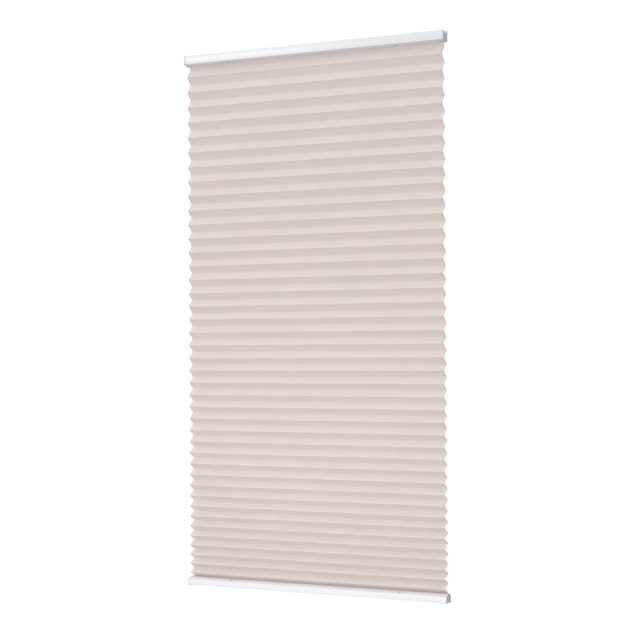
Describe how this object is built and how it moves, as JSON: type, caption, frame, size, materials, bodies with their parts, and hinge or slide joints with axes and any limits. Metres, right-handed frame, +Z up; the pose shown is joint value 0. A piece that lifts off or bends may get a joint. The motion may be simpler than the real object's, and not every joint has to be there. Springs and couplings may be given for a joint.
{
  "type": "pleated blind",
  "caption": "Free-hanging pleated blind: a fabric sheet folded in even pleats between a slim top rail and a bottom rail that slides up to gather it.",
  "frame": {"origin": "middle of the top rail's open channel, in the plane of its upper edges; the blind hangs below it", "axes": "+X along the rails, -Y towards the room (front), +Z up"},
  "size_m": [0.568, 0.0235, 1.0827],
  "materials": {
    "painted_aluminium": "satin white powder coat",
    "white_plastic": "satin moulded plastic",
    "clear_strip": "extruded plastic strip",
    "pleated_cloth": "crisp pleated polyester, fine plain weave",
    "grey_plastic": "dark moulded bush",
    "inner_plastic": "moulded block",
    "spring_steel": "bright spring wire"
  },
  "bodies": {
    "head_rail": {"top_rail": "painted_aluminium", "top_end_cap_left": "white_plastic", "top_end_cap_right": "white_plastic", "top_fabric_strip": "clear_strip", "pleated_fabric": "pleated_cloth", "top_cord_eyelet_left": "grey_plastic", "top_cord_eyelet_right": "grey_plastic", "cord_guide_left": "inner_plastic", "cord_guide_right": "inner_plastic", "spring_anchor_left": "inner_plastic", "spring_anchor_right": "inner_plastic", "tension_spring_left": "spring_steel", "tension_spring_right": "spring_steel"},
    "hem_rail": {"bottom_rail": "painted_aluminium", "bottom_end_cap_left": "white_plastic", "bottom_end_cap_right": "white_plastic", "bottom_fabric_strip": "clear_strip", "bottom_cord_eyelet_left": "grey_plastic", "bottom_cord_eyelet_right": "grey_plastic", "cord_clamp_left": "inner_plastic", "cord_clamp_right": "inner_plastic"}
  },
  "joints": [
    {"name": "bottom_rail_lift", "type": "slide", "parent": "head_rail", "child": "hem_rail", "axis": [0, 0, 1], "range_m": [0, 0.998], "deforming": ["pleated_fabric"]}
  ]
}
